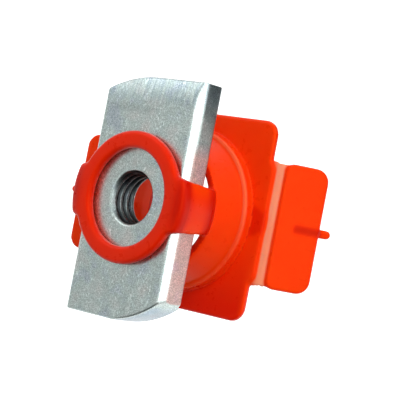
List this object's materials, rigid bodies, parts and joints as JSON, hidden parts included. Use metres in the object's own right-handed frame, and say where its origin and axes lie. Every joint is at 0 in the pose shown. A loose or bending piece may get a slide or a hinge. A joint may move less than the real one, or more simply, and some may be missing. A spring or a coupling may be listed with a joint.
{
  "type": "strut channel nut",
  "caption": "Steel strut channel nut with a threaded hole, rounded turning corners and toothed grooves, in a translucent orange moulded holder with ring, collar, flange and bendable wings.",
  "frame": {"origin": "on the thread axis, in the plane of the plate's bearing face", "axes": "+Z along the thread axis towards the ring, +Y along the plate's length, +X across the plate's width"},
  "size_m": [0.0452, 0.0356, 0.0232],
  "materials": {
    "zinc_steel": "bright zinc plated",
    "orange_plastic": "glossy translucent"
  },
  "bodies": {
    "root": {"nut_plate": "zinc_steel", "holder": "orange_plastic"}
  },
  "joints": []
}
